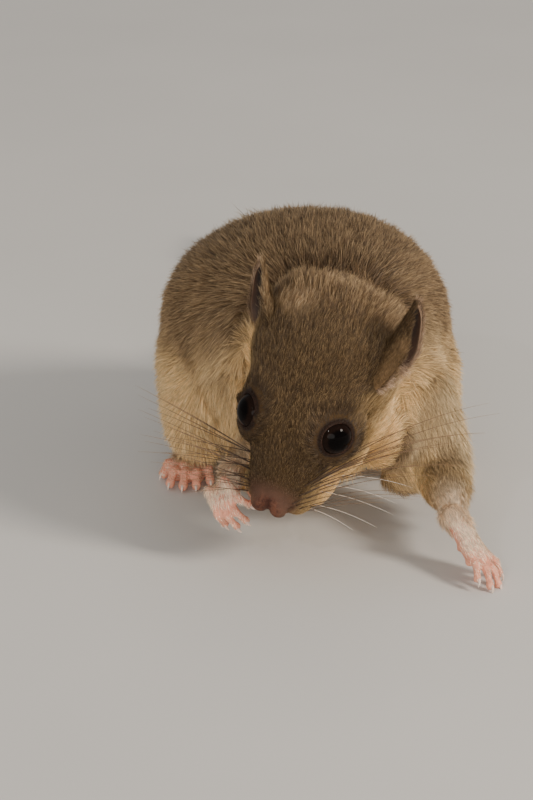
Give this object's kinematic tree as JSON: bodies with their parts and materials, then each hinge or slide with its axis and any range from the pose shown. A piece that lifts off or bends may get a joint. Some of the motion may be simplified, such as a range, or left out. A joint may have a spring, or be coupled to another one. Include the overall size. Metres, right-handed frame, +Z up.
{
  "type": "edible dormouse model",
  "caption": "Still, life-size edible dormouse crouched to feed: grey-brown coat, large dark eyes, cupped ears, one forepaw raised, bushy tail laid behind.",
  "frame": {"origin": "centre of the base of the model's box, on the floor", "axes": "+Z up, -Y the way the body faces, +X the animal's own left"},
  "size_m": [0.0766, 0.22, 0.0673],
  "materials": {
    "fur": "matt, soft coat",
    "ear": "thin, almost bare skin",
    "eye": "wet gloss",
    "foot": "bare skin with short pale hair"
  },
  "bodies": {
    "root": {"head": "fur", "neck": "fur", "torso": "fur", "ear_left": "ear", "ear_right": "ear", "eye_left": "eye", "eye_right": "eye", "upper_foreleg_left": "fur", "upper_foreleg_right": "fur", "lower_foreleg_left": "fur", "lower_foreleg_right": "fur", "forefoot_left": "foot", "forefoot_right": "foot", "thigh_left": "fur", "thigh_right": "fur", "shank_left": "fur", "shank_right": "fur", "hindfoot_left": "foot", "hindfoot_right": "foot", "tail": "fur"}
  },
  "joints": []
}
